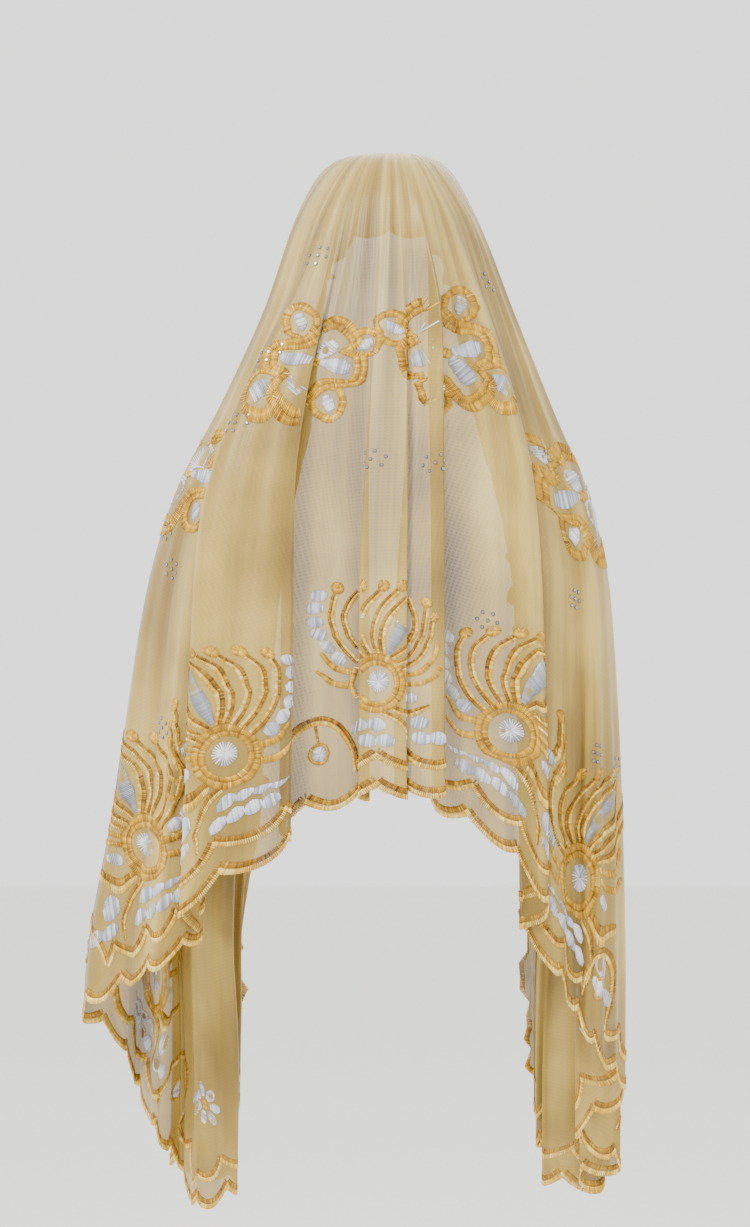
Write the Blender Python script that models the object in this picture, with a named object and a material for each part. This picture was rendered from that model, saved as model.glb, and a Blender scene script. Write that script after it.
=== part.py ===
"""Sheer embroidered veil, worn over the head with its ends hanging over both shoulders.

Metres, +Z up. The origin is the top of the head, where the cloth is carried.
The back of the veil faces -Y, the open face side faces +Y and the wearer's right is on +X.
"""

import math
from collections import namedtuple

import bmesh
import bpy
import numpy as np

MM = 0.001

# Flat cloth: a rectangle, measured from the point that lies on the crown of the head.
HALF_LENGTH = 930 * MM
BACK_WIDTH = 630 * MM
FRONT_WIDTH = 110 * MM

WALL = 1.0 * MM
STITCH_GAP = 0.3 * MM
STITCH_WALL = 1.0 * MM

# Scalloped edge: a straight strip beyond the rectangle, then round scallops.
HEM_STRIP = 10 * MM
SCALLOP_RISE = 14 * MM
SCALLOP_PITCH = 58 * MM
SCALLOP_STEPS = 3
SCALLOP_ROUNDNESS = 0.8
STATION_CLEAR = 6 * MM

# Fans of stitched feathers along the back hem: places of their rings along the flat cloth, and how far
# they lie below the crown, then the ring's inner and outer radius and where it has corners. All in mm.
FAN_PLACES = (-655, -385, -200, 0, 193, 410, 640)
FAN_DROP = 551
FAN_RING = (17, 25)
RING_TURNS = (164, 196, 228, 294, 326, 356)
FEATHER_WIDTHS = (5, 5.5, 10)

# Stitched flowers between the shoulders: places of their middles across and up the flat cloth, in mm.
FLOWER_PLACES = ((-228, -278), (-60, -257), (66, -250), (247, -277))
FLOWER_BAND = 9
LOBE_REACH = 45
CUSP_REACH = 35
PETAL_REACH = 31
PETAL_WIDTH = 14
HUB_RADIUS = 4.5
HUB_TURN = 18

# Each feather leaves the ring at ring_deg, bends at a middle point and ends in a knob; x is away from
# the centre back, y is up the cloth, both from the ring's centre, in mm.
Feather = namedtuple("Feather", "ring_deg bend_x bend_y knob_x knob_y")
FEATHERS = (
    Feather(136, -44, 48, -40, 82),
    Feather(115, -29, 50, -17, 84),
    Feather(98, -12, 50, 5, 85),
    Feather(80, 4, 50, 24, 82),
    Feather(34, 39, 36, 46, 66),
    Feather(14, 44, 20, 56, 46),
)
LEAF_DEG = 58
LEAF = ((15, 52), (33, 74), (35, 45))
TAIL_DEG = 262
TAIL = ((-6, -44), (4, -44))

# Way of each lobe of a flower from its middle, in degrees.
LOBE_WAYS = (-20, 52, 172, 232)
CUSP_WAYS = (22, 112, 202, 286)
SATELLITE = ((9, 15), (7, 26), (-7, 26), (-9, 15))
LOBE_TURN = 17
CUSP_TURN = 7

Finish = namedtuple("Finish", "colour roughness metallic")
SHEER_CLOTH = Finish((0.62, 0.50, 0.27), 0.55, 0.0)
GOLD_THREAD = Finish((0.72, 0.42, 0.10), 0.38, 0.2)
WHITE_THREAD = Finish((0.80, 0.80, 0.84), 0.45, 0.0)

# How the straight lines of the flat cloth leave the crown, and where the folds begin below it.
CROWN_FLAT = 20 * MM
CROWN_TURN = 110 * MM
FOLD_START = 30 * MM
FORM_SQUARENESS = 0.92
WALK_STEPS = 400

# Points of a plate closer than SNAP, on the flat cloth, are one point, and a facet of the flat cloth
# smaller than LEAST_FACET, in square metres, carries no stitching.
SNAP = 0.05 * MM
LEAST_FACET = 1e-12

# Rings of the cloth's mesh, as shares of the way from the crown to the edge.
COLUMN_STEP = 62 * MM
FRONT_ROWS = 3
RINGS = (0.07, 0.14, 0.22, 0.30, 0.39, 0.48, 0.57, 0.66, 0.75, 0.84, 0.92, 1.0)

# The form that the cloth is spread over: one row for each level below the crown, in mm.
Level = namedtuple("Level", "depth left right back front")
LEVELS = (
    Level(0, 0, 0, 0, 0),
    Level(2, 32, 31, 34, 32),
    Level(7, 52, 49, 56, 52),
    Level(21, 68, 62, 78, 72),
    Level(56, 86, 80, 97, 88),
    Level(147, 117, 116, 110, 93),
    Level(238, 158, 154, 120, 96),
    Level(329, 204, 193, 130, 100),
    Level(420, 229, 212, 136, 101),
    Level(602, 255, 223, 142, 100),
    Level(784, 287, 227, 146, 99),
    Level(1010, 292, 226, 146, 98),
)

# Where a straight line of the flat cloth goes round the body: flat angle and plan angle from the back.
Spread = namedtuple("Spread", "flat_deg plan_deg")
SPREADS = (
    Spread(0, 0),
    Spread(20, 33),
    Spread(35, 58),
    Spread(45, 80),
    Spread(56, 100),
    Spread(75, 112),
    Spread(97, 124),
    Spread(112, 129),
    Spread(142, 140),
    Spread(165, 163),
    Spread(180, 180),
)

# Fold lines at the edge of the cloth, from the centre back round each side to the centre front.
# along: distance along the flat edge; x, y, depth: where the edge hangs; full: depth below which
# the fold is fully formed. All in mm, left side negative.
Fold = namedtuple("Fold", "name along x y depth full")
RIGHT_FOLDS = (
    Fold("centre panel", 0, -12, -153, 575, 450),
    Fold("centre pleat edge", 30, 16, -150, 574, 470),
    Fold("centre pleat recess", 50, 5, -130, 574, 470),
    Fold("second panel start", 70, 20, -149, 573, 470),
    Fold("second pleat edge", 100, 49, -147, 573, 190),
    Fold("second pleat recess", 122, 37, -125, 580, 190),
    Fold("right panel", 215, 104, -126, 624, 380),
    Fold("right panel edge", 300, 142, -116, 686, 400),
    Fold("right panel recess", 332, 118, -92, 698, 420),
    Fold("right side ripple", 385, 148, -104, 735, 600),
    Fold("right side panel", 450, 168, -82, 775, 700),
    Fold("right side second ripple", 530, 190, -86, 815, 750),
    Fold("right cascade edge", 640, 220, -30, 862, 800),
    Fold("right cascade inner turn", 735, 176, -10, 905, 850),
    Fold("right cascade second edge", 830, 218, 4, 938, 880),
    Fold("right cascade last turn", 880, 180, 16, 952, 890),
    Fold("right back corner", 930, 206, 28, 966, 900),
    Fold("right end first turn", 1020, 148, 42, 958, 900),
    Fold("right end first edge", 1120, 212, 55, 945, 880),
    Fold("right end second turn", 1230, 144, 69, 930, 870),
    Fold("right end second edge", 1340, 206, 82, 915, 850),
    Fold("right end third turn", 1450, 142, 95, 905, 840),
    Fold("right end third edge", 1560, 192, 107, 895, 830),
    Fold("right front corner", 1670, 146, 119, 890, 800),
    Fold("right front hem low", 1850, 136, 125, 692, 640),
    Fold("right front hem middle", 2050, 132, 123, 492, 440),
    Fold("right front hem shoulder", 2250, 108, 113, 300, 260),
    Fold("right front hem cheek", 2380, 76, 99, 178, 150),
    Fold("right front hem temple", 2480, 60, 87, 98, 90),
    Fold("right front hem brow", 2550, 37, 92, 60, 55),
    Fold("centre front", 2600, 0, 95, 48, 45),
)
LEFT_FOLDS = (
    Fold("centre pleat left edge", -15, -29, -150, 575, 470),
    Fold("centre pleat left recess", -34, -18, -130, 577, 470),
    Fold("inner panel", -100, -60, -124, 588, 470),
    Fold("inner panel recess", -146, -100, -124, 606, 470),
    Fold("left panel edge", -166, -88, -146, 618, 450),
    Fold("left panel", -225, -145, -146, 648, 420),
    Fold("left panel outer edge", -284, -190, -124, 690, 400),
    Fold("left panel recess", -312, -170, -96, 704, 420),
    Fold("left side ripple", -375, -206, -112, 730, 600),
    Fold("left side panel", -450, -238, -84, 752, 700),
    Fold("left outer tip", -545, -286, -30, 788, 740),
    Fold("left cascade turn", -610, -256, 22, 822, 780),
    Fold("left cascade edge", -680, -245, 62, 868, 820),
    Fold("left cascade inner turn", -760, -222, 28, 912, 860),
    Fold("left cascade second edge", -840, -204, 66, 946, 900),
    Fold("left back corner", -930, -184, 34, 982, 920),
    Fold("left end first turn", -1020, -146, 62, 970, 900),
    Fold("left end first edge", -1120, -214, 84, 950, 880),
    Fold("left end second turn", -1230, -150, 94, 930, 870),
    Fold("left end second edge", -1340, -210, 104, 915, 850),
    Fold("left end third turn", -1450, -148, 112, 905, 840),
    Fold("left end third edge", -1560, -198, 121, 895, 830),
    Fold("left front corner", -1670, -162, 131, 890, 800),
    Fold("left front hem low", -1850, -142, 133, 692, 640),
    Fold("left front hem middle", -2050, -118, 129, 492, 440),
    Fold("left front hem shoulder", -2250, -106, 114, 300, 260),
    Fold("left front hem cheek", -2380, -76, 99, 178, 150),
    Fold("left front hem temple", -2480, -60, 87, 98, 90),
    Fold("left front hem brow", -2550, -37, 92, 60, 55),
    Fold("centre front", -2600, 0, 95, 48, 45),
)

FRONT_CORNER = HALF_LENGTH + BACK_WIDTH + FRONT_WIDTH
FOLDS = sorted(LEFT_FOLDS + RIGHT_FOLDS, key=lambda fold: fold.along)


def smooth_curve(stations, values, at):
    """Monotone cubic through the stations: it never passes beyond a fold's own turning point."""
    stations = np.asarray(stations, float)
    values = np.asarray(values, float)
    steps = np.diff(stations)
    slopes = np.diff(values) / steps
    tangents = np.zeros(len(stations))
    same_way = slopes[:-1] * slopes[1:] > 0
    inner = 2 * slopes[:-1] * slopes[1:] / np.where(same_way, slopes[:-1] + slopes[1:], 1)
    tangents[1:-1] = np.where(same_way, inner, 0)
    tangents[0], tangents[-1] = slopes[0], slopes[-1]
    at = np.clip(at, stations[0], stations[-1])
    span = np.clip(np.searchsorted(stations, at, side="right") - 1, 0, len(steps) - 1)
    t = (at - stations[span]) / steps[span]
    rise = values[span + 1] - values[span]
    start = tangents[span] * steps[span]
    end = tangents[span + 1] * steps[span]
    return values[span] + start * t + (3 * rise - 2 * start - end) * t**2 + (start + end - 2 * rise) * t**3


def ease(share):
    share = np.clip(share, 0, 1)
    return share * share * (3 - 2 * share)


def flat_edge_point(along):
    """Point of the flat rectangle's edge at a distance along it from the centre back."""
    side = np.sign(along) + (along == 0)
    run = np.abs(along)
    end_run = np.clip(run - HALF_LENGTH, 0, BACK_WIDTH + FRONT_WIDTH)
    front_run = np.clip(run - HALF_LENGTH - BACK_WIDTH - FRONT_WIDTH, 0, HALF_LENGTH)
    u = side * (np.minimum(run, HALF_LENGTH) - front_run)
    return u, end_run - BACK_WIDTH


LEVEL_STEPS = np.concatenate(([0], np.cumsum([
    math.hypot(b.depth - a.depth, (b.left + b.back - a.left - a.back) / 2) for a, b in zip(LEVELS, LEVELS[1:])
])))


def body_form(plan_angle, step):
    """Point on the smooth form under the folds, at a plan angle from the back and a step down it."""
    depth, left, right, back, front = (
        smooth_curve(LEVEL_STEPS, [getattr(level, field) for level in LEVELS], step) * MM
        for field in Level._fields
    )
    sideways = np.sin(plan_angle)
    backwards = np.cos(plan_angle)
    x = np.where(sideways < 0, left, right) * np.sign(sideways) * np.abs(sideways) ** FORM_SQUARENESS
    y = -np.where(backwards > 0, back, front) * np.sign(backwards) * np.abs(backwards) ** FORM_SQUARENESS
    return np.stack([x, y, -depth], axis=-1)


def drape(along, share):
    """Where points of the cloth hang: place along its edge, and share of the way there from the crown."""
    u, v = flat_edge_point(along)
    flat_angle = np.arctan2(u, -v)
    plan_angle = np.sign(flat_angle) * np.radians(smooth_curve(
        [row.flat_deg for row in SPREADS], [row.plan_deg for row in SPREADS], np.degrees(np.abs(flat_angle))
    ))
    stations = [fold.along * MM for fold in FOLDS]
    edge_x, edge_y, edge_depth, full = (
        smooth_curve(stations, [getattr(fold, field) * MM for fold in FOLDS], along)
        for field in ("x", "y", "depth", "full")
    )
    walk = np.linspace(0, LEVEL_STEPS[-1], WALK_STEPS)
    points = np.empty((len(along), 3))
    for i in range(len(along)):
        path = body_form(np.full(WALK_STEPS, plan_angle[i]), walk)
        travelled = np.concatenate(([0], np.cumsum(np.linalg.norm(np.diff(path, axis=0), axis=1))))
        edge_travel = np.interp(edge_depth[i], -path[:, 2], travelled)
        edge_form = body_form(plan_angle[i], np.interp(edge_travel, travelled, walk))
        turn = ease((share[i] * math.hypot(u[i], v[i]) - CROWN_FLAT) / CROWN_TURN)
        angle = flat_angle[i] + (plan_angle[i] - flat_angle[i]) * turn
        here = body_form(angle, np.interp(share[i] * edge_travel, travelled, walk))
        folded = ease((-here[2] - FOLD_START) / max(full[i] - FOLD_START, CROWN_FLAT))
        hang = max(math.cos(plan_angle[i]), 0) ** 2
        shift = np.array([edge_x[i], edge_y[i]]) - edge_form[:2] + hang * (edge_form[:2] - here[:2])
        here[:2] += shift * folded
        points[i] = here
    return points


def new_piece(name, vertices, faces, finish):
    mesh = bpy.data.meshes.new(name)
    mesh.from_pydata([tuple(vertex) for vertex in vertices], [], faces)
    mesh.update()
    piece = bpy.data.objects.new(name, mesh)
    bpy.context.collection.objects.link(piece)
    material = bpy.data.materials.new(name)
    material.use_nodes = True
    shader = material.node_tree.nodes["Principled BSDF"]
    shader.inputs["Base Color"].default_value = (*finish.colour, 1)
    shader.inputs["Roughness"].default_value = finish.roughness
    shader.inputs["Metallic"].default_value = finish.metallic
    mesh.materials.append(material)
    return piece


class Cloth:
    """The faceted cloth: flat place, hanging place and outward normal of each corner of its facets."""

    def __init__(self):
        stations = [fold.along * MM for fold in FOLDS if abs(fold.along * MM) < FRONT_CORNER + MM]
        columns = []
        for a, b in zip(stations, stations[1:]):
            parts = max(1, round((b - a) / COLUMN_STEP))
            columns += [a + (b - a) * i / parts for i in range(parts)]
        self.along = np.array(columns + [stations[-1]])
        self.facets = []
        corners = [(0.0, 0.0)]
        for place in self.along:
            corners += [(place, share) for share in RINGS]
        self.fan_facets()
        self.front_facets(corners)
        along, share = np.array(corners).T
        u, v = flat_edge_point(along)
        self.flat = np.stack([u * share, v * share], axis=1)
        self.places = drape(along, share)
        self.edge_facets()
        self.facets = np.array(self.facets)
        a, b, c = (self.places[self.facets[:, i]] for i in range(3))
        slopes = np.cross(b - a, c - a)
        slopes /= np.linalg.norm(slopes, axis=1, keepdims=True)
        self.normals = np.zeros_like(self.places)
        for i in range(3):
            np.add.at(self.normals, self.facets[:, i], slopes)
        self.normals /= np.linalg.norm(self.normals, axis=1, keepdims=True)

    def corner(self, column, ring):
        return 1 + column * len(RINGS) + ring

    def fan_facets(self):
        """Columns of facets that fan out from the crown to the back edge and both ends."""
        for i in range(len(self.along) - 1):
            self.facets.append((self.corner(i, 0), self.corner(i + 1, 0), 0))
            for j in range(len(RINGS) - 1):
                low_left, low_right = self.corner(i, j + 1), self.corner(i + 1, j + 1)
                up_right, up_left = self.corner(i + 1, j), self.corner(i, j)
                if j < len(RINGS) - 2:
                    self.facets.append((low_left, low_right, up_right))
                self.facets.append((low_left, up_right, up_left))

    def edge_facets(self):
        """The last facets of each column, and the strip and scallops that carry on from them."""
        last = len(RINGS) - 1
        flat, places, edge = [], [], []
        for i in range(len(self.along) - 1):
            left, right = self.corner(i, last), self.corner(i + 1, last)
            lines = [self.places[corner] - self.places[corner - 1] for corner in (left, right)]
            ways = [line / np.linalg.norm(line) for line in lines]
            rim = [left]
            for place in edge_stations(self.along[i], self.along[i + 1]):
                part = (place - self.along[i]) / (self.along[i + 1] - self.along[i])
                rim_flat = self.flat[left] + (self.flat[right] - self.flat[left]) * part
                rim_place = self.places[left] + (self.places[right] - self.places[left]) * part
                if part > 0:
                    rim.append(len(self.places) + len(places))
                    flat.append(rim_flat)
                    places.append(rim_place)
                edge.append((rim[-1], len(self.places) + len(places)))
                reach = HEM_STRIP + scallop(place)
                flat.append(rim_flat + flat_outward(place) * reach)
                places.append(rim_place + (ways[0] + (ways[1] - ways[0]) * part) * reach)
            rim.append(right)
            apex = self.corner(i + 1, last - 1)
            self.facets += [(a, b, apex) for a, b in zip(rim, rim[1:])]
        edge.append((right, len(self.places) + len(places)))
        flat.append(self.flat[right] + flat_outward(self.along[-1]) * HEM_STRIP)
        places.append(self.places[right] + ways[1] * HEM_STRIP)
        self.flat = np.concatenate([self.flat, flat])
        self.places = np.concatenate([self.places, places])
        for (rim_a, low_a), (rim_b, low_b) in zip(edge, edge[1:]):
            self.facets += [(low_a, low_b, rim_b), (low_a, rim_b, rim_a)]

    def front_facets(self, corners):
        """The long strip over the brow and down past both shoulders, in rows across the cloth."""
        def row(side, share):
            """Corners across the strip where the line to the front corner has gone a share of its way."""
            places = []
            for part in range(1, FRONT_ROWS + 1):
                v = (share + (1 - share) * part / FRONT_ROWS) * FRONT_WIDTH
                along = side * (FRONT_CORNER + HALF_LENGTH * (1 - share * FRONT_WIDTH / v))
                corners.append((along, v / FRONT_WIDTH))
                places.append(len(corners) - 1)
            return places

        middle = [0] + row(1, 0.0)
        for side, column in ((1, len(self.along) - 1), (-1, 0)):
            before = middle
            for j, share in enumerate(RINGS):
                first = self.corner(column, j)
                if share < 1:
                    after = [first] + row(side, share)
                else:
                    after = [first] * (FRONT_ROWS + 1)
                for k in range(FRONT_ROWS):
                    quad = (before[k], after[k], after[k + 1], before[k + 1])
                    for facet in ((quad[0], quad[1], quad[2]), (quad[0], quad[2], quad[3])):
                        if len(set(facet)) == 3:
                            self.facets.append(facet if side > 0 else facet[::-1])
                before = after

    def build(self):
        count = len(self.places)
        lift = self.normals * WALL / 2
        vertices = np.concatenate([self.places + lift, self.places - lift])
        faces = [tuple(facet) for facet in self.facets]
        faces += [tuple(count + i for i in reversed(facet)) for facet in self.facets]
        edges = {(f[i], f[(i + 1) % 3]) for f in self.facets for i in range(3)}
        for a, b in sorted(edges):
            if (b, a) not in edges:
                faces += [(a, count + a, count + b), (a, count + b, b)]
        return new_piece("veil_cloth", vertices, faces, SHEER_CLOTH)


def scallop(along):
    """How far a scallop stands out beyond the straight strip at a distance along the edge."""
    phase = (along / SCALLOP_PITCH) % 1
    return SCALLOP_RISE * math.sin(math.pi * phase) ** SCALLOP_ROUNDNESS if phase > 0 else 0


def flat_outward(along):
    """Way out of the flat rectangle at a place along its edge, with both ways at a back corner."""
    back = abs(along) < HALF_LENGTH + SNAP
    end = abs(along) > HALF_LENGTH - SNAP
    return np.array([math.copysign(1, along) * end, -1.0 * back])


def edge_stations(start, end):
    """Places along a stretch of the edge that the scallops need, its start among them."""
    step = SCALLOP_PITCH / SCALLOP_STEPS
    first = math.ceil((start + STATION_CLEAR) / step)
    last = math.floor((end - STATION_CLEAR) / step)
    return [start] + [i * step for i in range(first, last + 1)]


def clip(polygon, corners):
    """Part of a convex flat polygon inside a flat triangle, whichever way the triangle turns."""
    turn = np.cross(corners[1] - corners[0], corners[2] - corners[0])
    if abs(turn) < LEAST_FACET:
        return []
    for i in range(3):
        a, b = corners[i], corners[(i + 1) % 3]
        side = [np.cross(b - a, p - a) * np.sign(turn) for p in polygon]
        kept = []
        for j, point in enumerate(polygon):
            following = (j + 1) % len(polygon)
            if side[j] >= 0:
                kept.append(point)
            if side[j] * side[following] < 0:
                kept.append(point + (polygon[following] - point) * side[j] / (side[j] - side[following]))
        polygon = kept
        if len(polygon) < 3:
            return []
    return polygon


def build_plate(cloth, name, polygons, finish):
    """A thin plate of stitching that lies just off the cloth's facets, cut where the facets meet."""
    polygons = [[np.array(p, float) for p in polygon] for polygon in polygons]
    everything = np.array([p for polygon in polygons for p in polygon])
    low, high = everything.min(axis=0), everything.max(axis=0)
    places, faces, vertices = {}, [], []
    lifts = (WALL / 2 + STITCH_GAP, WALL / 2 + STITCH_GAP + STITCH_WALL)
    for facet in cloth.facets:
        corners = cloth.flat[facet]
        if (corners.min(axis=0) > high).any() or (corners.max(axis=0) < low).any():
            continue
        basis = np.linalg.inv(np.vstack([corners.T, np.ones(3)]))
        for polygon in polygons:
            ring = []
            for point in clip(polygon, corners):
                key = tuple(np.round(point / SNAP).astype(int))
                if key not in places:
                    weights = basis @ np.array([point[0], point[1], 1])
                    place = weights @ cloth.places[facet]
                    normal = weights @ cloth.normals[facet]
                    places[key] = len(vertices) // 2
                    vertices += [place + normal * lift for lift in lifts]
                if not ring or ring[-1] != places[key]:
                    ring.append(places[key])
            if len(ring) > 1 and ring[0] == ring[-1]:
                ring.pop()
            if len(set(ring)) > 2:
                faces.append(ring)
    solid = [[2 * i + 1 for i in ring] for ring in faces]
    solid += [[2 * i for i in reversed(ring)] for ring in faces]
    edges = {(a, b) for ring in faces for a, b in zip(ring, ring[1:] + ring[:1])}
    solid += [(2 * a + 1, 2 * a, 2 * b, 2 * b + 1) for a, b in sorted(edges) if (b, a) not in edges]
    piece = new_piece(name, vertices, solid, finish)
    shape = bmesh.new()
    shape.from_mesh(piece.data)
    bmesh.ops.triangulate(shape, faces=shape.faces)
    shape.to_mesh(piece.data)
    shape.free()
    return piece


def fan_polygons():
    """Flat outline of a fan about its ring's centre: ring, feathers, leaf and tail, in mm."""
    inner, outer = FAN_RING
    half_base = math.degrees(FEATHER_WIDTHS[0] / 2 / outer)
    polygons, stations = [], set()
    for way in [feather.ring_deg for feather in FEATHERS] + [LEAF_DEG, TAIL_DEG]:
        stations |= {way - half_base, way + half_base}
    stations = sorted(stations | set(RING_TURNS))
    for a, b in zip(stations, stations[1:] + [stations[0] + 360]):
        polygons.append([polar(inner, a), polar(outer, a), polar(outer, b), polar(inner, b)])
    for feather in FEATHERS:
        base = [polar(outer, feather.ring_deg - half_base), polar(outer, feather.ring_deg + half_base)]
        bend = np.array([feather.bend_x, feather.bend_y])
        knob = np.array([feather.knob_x, feather.knob_y])
        across = turned_right(knob - sum(base) / 2)
        middle = [bend + across * FEATHER_WIDTHS[1] / 2, bend - across * FEATHER_WIDTHS[1] / 2]
        tip = turned_right(knob - bend)
        end = [knob + tip * FEATHER_WIDTHS[2] / 2, knob - tip * FEATHER_WIDTHS[2] / 2]
        polygons.append([base[0], middle[0], middle[1], base[1]])
        polygons.append([middle[0], end[0], end[1], middle[1]])
    for way, points in ((LEAF_DEG, LEAF), (TAIL_DEG, TAIL)):
        base = [polar(outer, way - half_base), polar(outer, way + half_base)]
        polygons.append([base[0]] + [np.array(point) for point in reversed(points)] + [base[1]])
    return polygons


def flower_polygons():
    """Flat outline of a flower's stitched band with a small leaf at each cusp, in mm."""
    stations = [(way + turn, LOBE_REACH) for way in LOBE_WAYS for turn in (-LOBE_TURN, LOBE_TURN)]
    stations += [(way + turn, CUSP_REACH) for way in CUSP_WAYS for turn in (-CUSP_TURN, CUSP_TURN)]
    stations.sort()
    polygons = []
    for (a, reach_a), (b, reach_b) in zip(stations, stations[1:] + stations[:1]):
        outer = [polar(reach_a, a), polar(reach_b, b)]
        inner = [polar(reach_b - FLOWER_BAND, b), polar(reach_a - FLOWER_BAND, a)]
        polygons.append(outer + inner)
    for way in CUSP_WAYS:
        out = polar(1, way)
        side = turned_right(out)
        leaf = [polar(CUSP_REACH, way + CUSP_TURN), polar(CUSP_REACH, way - CUSP_TURN)]
        polygons.append(leaf + [out * (CUSP_REACH + y) + side * x for x, y in SATELLITE])
    return polygons


def petal_polygons():
    """Flat outline of a flower's middle and its white petals, in mm."""
    turns = sorted(lobe % 360 + turn for lobe in LOBE_WAYS for turn in (-HUB_TURN, HUB_TURN))
    polygons = [[polar(HUB_RADIUS, turn) for turn in turns]]
    for way in LOBE_WAYS:
        base = [polar(HUB_RADIUS, way - HUB_TURN), polar(HUB_RADIUS, way + HUB_TURN)]
        out = polar(1, way)
        side = turned_right(out) * PETAL_WIDTH / 2
        wide = out * (PETAL_REACH - PETAL_WIDTH / 2)
        polygons.append([base[0], wide + side, out * PETAL_REACH, wide - side, base[1]])
    return polygons


def polar(radius, way):
    return radius * np.array([math.cos(math.radians(way)), math.sin(math.radians(way))])


def turned_right(way):
    """Unit way square to a flat way, to its right."""
    return np.array([way[1], -way[0]]) / math.hypot(*way)


def placed(polygons, u, v, mirrored):
    """Polygons moved to their place on the flat cloth, in metres, mirrored first if asked."""
    if mirrored:
        polygons = [[point * (-1, 1) for point in reversed(polygon)] for polygon in polygons]
    return [[(point + (u, v)) * MM for point in polygon] for polygon in polygons]


def clear_scene():
    for thing in list(bpy.data.objects):
        bpy.data.objects.remove(thing, do_unlink=True)


def main():
    clear_scene()
    cloth = Cloth()
    cloth.build()
    for i, u in enumerate(FAN_PLACES, 1):
        build_plate(cloth, f"fan_motif_{i}", placed(fan_polygons(), u, -FAN_DROP, u < 0), GOLD_THREAD)
    for i, (u, v) in enumerate(FLOWER_PLACES, 1):
        build_plate(cloth, f"flower_outline_{i}", placed(flower_polygons(), u, v, u > 0), GOLD_THREAD)
        build_plate(cloth, f"flower_petals_{i}", placed(petal_polygons(), u, v, u > 0), WHITE_THREAD)


main()
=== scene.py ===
# %% [markdown]
# # A sheer embroidered hijab, draped
# The object is a rectangular shawl of gold organza. It lies on the crown of the head, hangs down the
# back and carries both ends over the shoulders. Its edge is cut in scallops and satin-stitched in gold,
# and fans, arches, ovals and flowers are stitched above it in gold and white thread.
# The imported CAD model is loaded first. It is the frame that every finer piece has to fit.

# %% Load the CAD model as a fixed frame
import math
from collections import namedtuple

import bpy
import numpy as np
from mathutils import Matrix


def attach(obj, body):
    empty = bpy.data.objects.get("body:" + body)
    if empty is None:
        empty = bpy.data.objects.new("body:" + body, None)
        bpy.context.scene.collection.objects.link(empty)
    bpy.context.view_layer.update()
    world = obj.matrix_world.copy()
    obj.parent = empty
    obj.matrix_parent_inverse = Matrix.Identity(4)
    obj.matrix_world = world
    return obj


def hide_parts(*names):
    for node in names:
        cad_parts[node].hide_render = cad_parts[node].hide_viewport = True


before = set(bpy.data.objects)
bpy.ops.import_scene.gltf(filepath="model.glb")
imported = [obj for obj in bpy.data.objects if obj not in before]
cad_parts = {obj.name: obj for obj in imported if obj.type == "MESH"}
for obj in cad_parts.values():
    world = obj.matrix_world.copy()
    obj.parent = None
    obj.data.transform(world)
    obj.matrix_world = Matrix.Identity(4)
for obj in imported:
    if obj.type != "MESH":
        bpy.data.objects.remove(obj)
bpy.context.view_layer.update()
MM = 0.001

# %% [markdown]
# ## The camera and the light
# The photograph looks level at the back of the veil, so the camera stands behind the wearer, on -Y.
# Its lens is worked out from the height of cloth that the picture spans at the cloth's distance.

# %% Camera at the photograph's angle
def new_object(name, data):
    thing = bpy.data.objects.new(name, data)
    bpy.context.collection.objects.link(thing)
    return thing


VIEW_CENTRE = (-13.6 * MM, -432 * MM)
VIEW_HEIGHT = 1.115
CAMERA_DISTANCE = 2.5
CLOTH_BACK = -0.1
SENSOR_HEIGHT = 24.0

camera_data = bpy.data.cameras.new("camera")
camera_data.sensor_fit = "VERTICAL"
camera_data.sensor_height = SENSOR_HEIGHT
camera_data.lens = SENSOR_HEIGHT * (CAMERA_DISTANCE + CLOTH_BACK) / VIEW_HEIGHT
camera = new_object("camera", camera_data)
camera.location = (VIEW_CENTRE[0], -CAMERA_DISTANCE, VIEW_CENTRE[1])
camera.rotation_euler = (math.radians(90), 0, 0)
bpy.context.scene.camera = camera
print("lens in mm:", round(camera_data.lens, 1))

# %% [markdown]
# ## Small helpers for materials
# Colours are written as sRGB hex, as a colour picker shows them, and turned to the linear values that
# the shaders use. One function adds a node with its settings and its links.

# %% Colour and node helpers
def linear(hex_colour):
    """Linear RGBA of an sRGB hex colour."""
    parts = [int(hex_colour[i:i + 2], 16) / 255 for i in (0, 2, 4)]
    return tuple(c / 12.92 if c <= 0.04045 else ((c + 0.055) / 1.055) ** 2.4 for c in parts) + (1.0,)


def add_node(tree, kind, settings=None, stops=(), **inputs):
    """A node with its settings, the hex stops of its colour ramp, and its inputs set or linked."""
    node = tree.nodes.new(kind)
    for name, value in (settings or {}).items():
        setattr(node, name, value)
    for k, (place, colour) in enumerate(stops):
        marks = node.color_ramp.elements
        mark = marks[k] if k < len(marks) else marks.new(place)
        mark.position, mark.color = place, linear(colour)
    for name, value in inputs.items():
        socket = node.inputs[int(name[1:])] if name[0] == "i" and name[1:].isdigit() else node.inputs[name]
        if isinstance(value, bpy.types.NodeSocket):
            tree.links.new(value, socket)
        else:
            socket.default_value = value
    return node


def new_material(name, **principled):
    """A material whose Principled shader has its constant numbers on its own sockets."""
    material = bpy.data.materials.new(name)
    material.use_nodes = True
    tree = material.node_tree
    shader = tree.nodes["Principled BSDF"]
    for key, value in principled.items():
        shader.inputs[key.replace("_", " ")].default_value = value
    return material, tree, shader


# %% [markdown]
# ## Floor, world and lights
# The photograph was taken against white, in soft light from the front. A wide pale floor below the
# tips, a pale world and three large area lights give the same even look.

# %% Floor, world and soft lights
FLOOR_LEVEL = -1.62
FLOOR_HALF = 9.0
WORLD_STRENGTH = 1.9
LAMP_AIM = np.array((0, 0, -0.45))

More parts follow.
